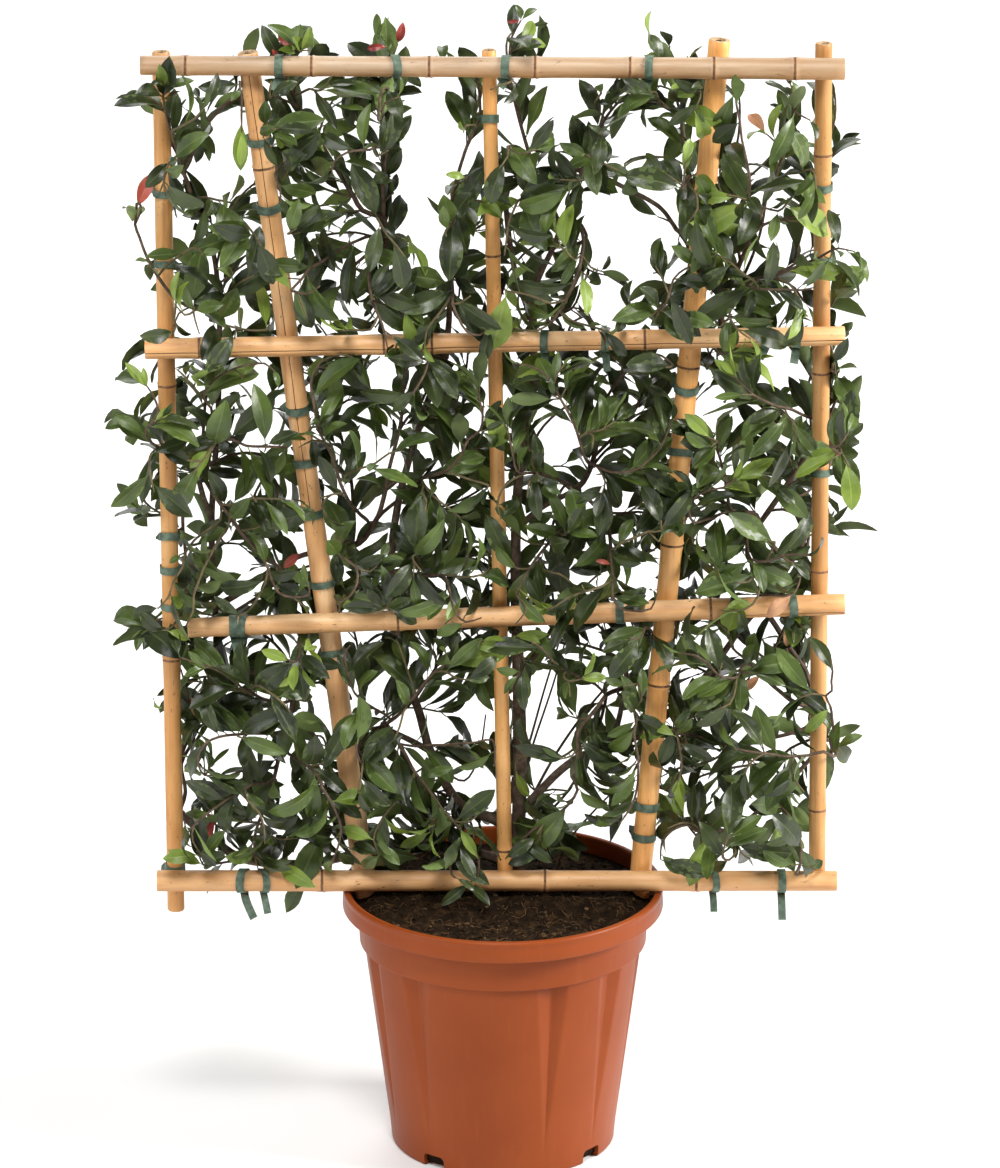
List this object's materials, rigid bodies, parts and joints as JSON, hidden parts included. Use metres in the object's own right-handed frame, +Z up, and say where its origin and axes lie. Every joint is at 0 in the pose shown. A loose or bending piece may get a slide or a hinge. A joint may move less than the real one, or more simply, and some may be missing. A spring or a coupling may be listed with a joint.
{
  "type": "potted photinia",
  "caption": "Young evergreen shrub with wiry stems tied flat to a bamboo trellis, standing in a round fluted plastic nursery pot filled with soil.",
  "frame": {"origin": "centre of the pot's flat underside", "axes": "+Z up along the pot, -Y towards the front of the trellis, +X to the right seen from the front"},
  "size_m": [0.7177, 0.2996, 1.1035],
  "materials": {
    "terracotta_plastic": "semi-matte moulded plastic, terracotta orange",
    "soil": "moist fibrous potting soil, matte",
    "bamboo": "natural bamboo cane with rings, satin skin",
    "green_tie": "flat dark green tie tape, matte",
    "bark": "thin brown bark with fine relief, matte",
    "leaf": "glossy dark green leaves on thin twigs"
  },
  "bodies": {
    "root": {"bar_foot": "bamboo", "bar_lower": "bamboo", "bar_top": "bamboo", "bar_upper": "bamboo", "bough_arch": "bark", "bough_arch_end": "bark", "bough_leader": "bark", "bough_left": "bark", "bough_left_cross": "bark", "bough_left_leader": "bark", "bough_left_riser": "bark", "bough_loop": "bark", "bough_middle_leader": "bark", "bough_right": "bark", "bough_right_drop": "bark", "bough_right_return": "bark", "bough_right_riser": "bark", "bough_runner": "bark", "cane_inner_left": "bamboo", "cane_inner_right": "bamboo", "cane_left": "bamboo", "cane_middle": "bamboo", "cane_right": "bamboo", "foliage_low_inner_left": "leaf", "foliage_low_inner_right": "leaf", "foliage_low_left": "leaf", "foliage_low_right": "leaf", "foliage_mid_inner_left": "leaf", "foliage_mid_inner_right": "leaf", "foliage_mid_left": "leaf", "foliage_mid_right": "leaf", "foliage_top_arch": "leaf", "foliage_top_inner_left": "leaf", "foliage_top_inner_right": "leaf", "foliage_top_left": "leaf", "foliage_top_middle": "leaf", "foliage_top_right": "leaf", "pot": "terracotta_plastic", "soil": "soil", "spur_left": "bark", "spur_low_left": "bark", "spur_low_right": "bark", "spur_middle": "bark", "spur_right": "bark", "tie_bar_foot_left": "green_tie", "tie_bar_foot_right": "green_tie", "tie_bar_lower": "green_tie", "tie_bar_top": "green_tie", "tie_bar_upper": "green_tie", "tie_inner_left_lower": "green_tie", "tie_inner_right_upper": "green_tie", "tie_left_upper": "green_tie", "tie_middle": "green_tie", "tie_right": "green_tie", "trunk": "bark"}
  },
  "joints": []
}
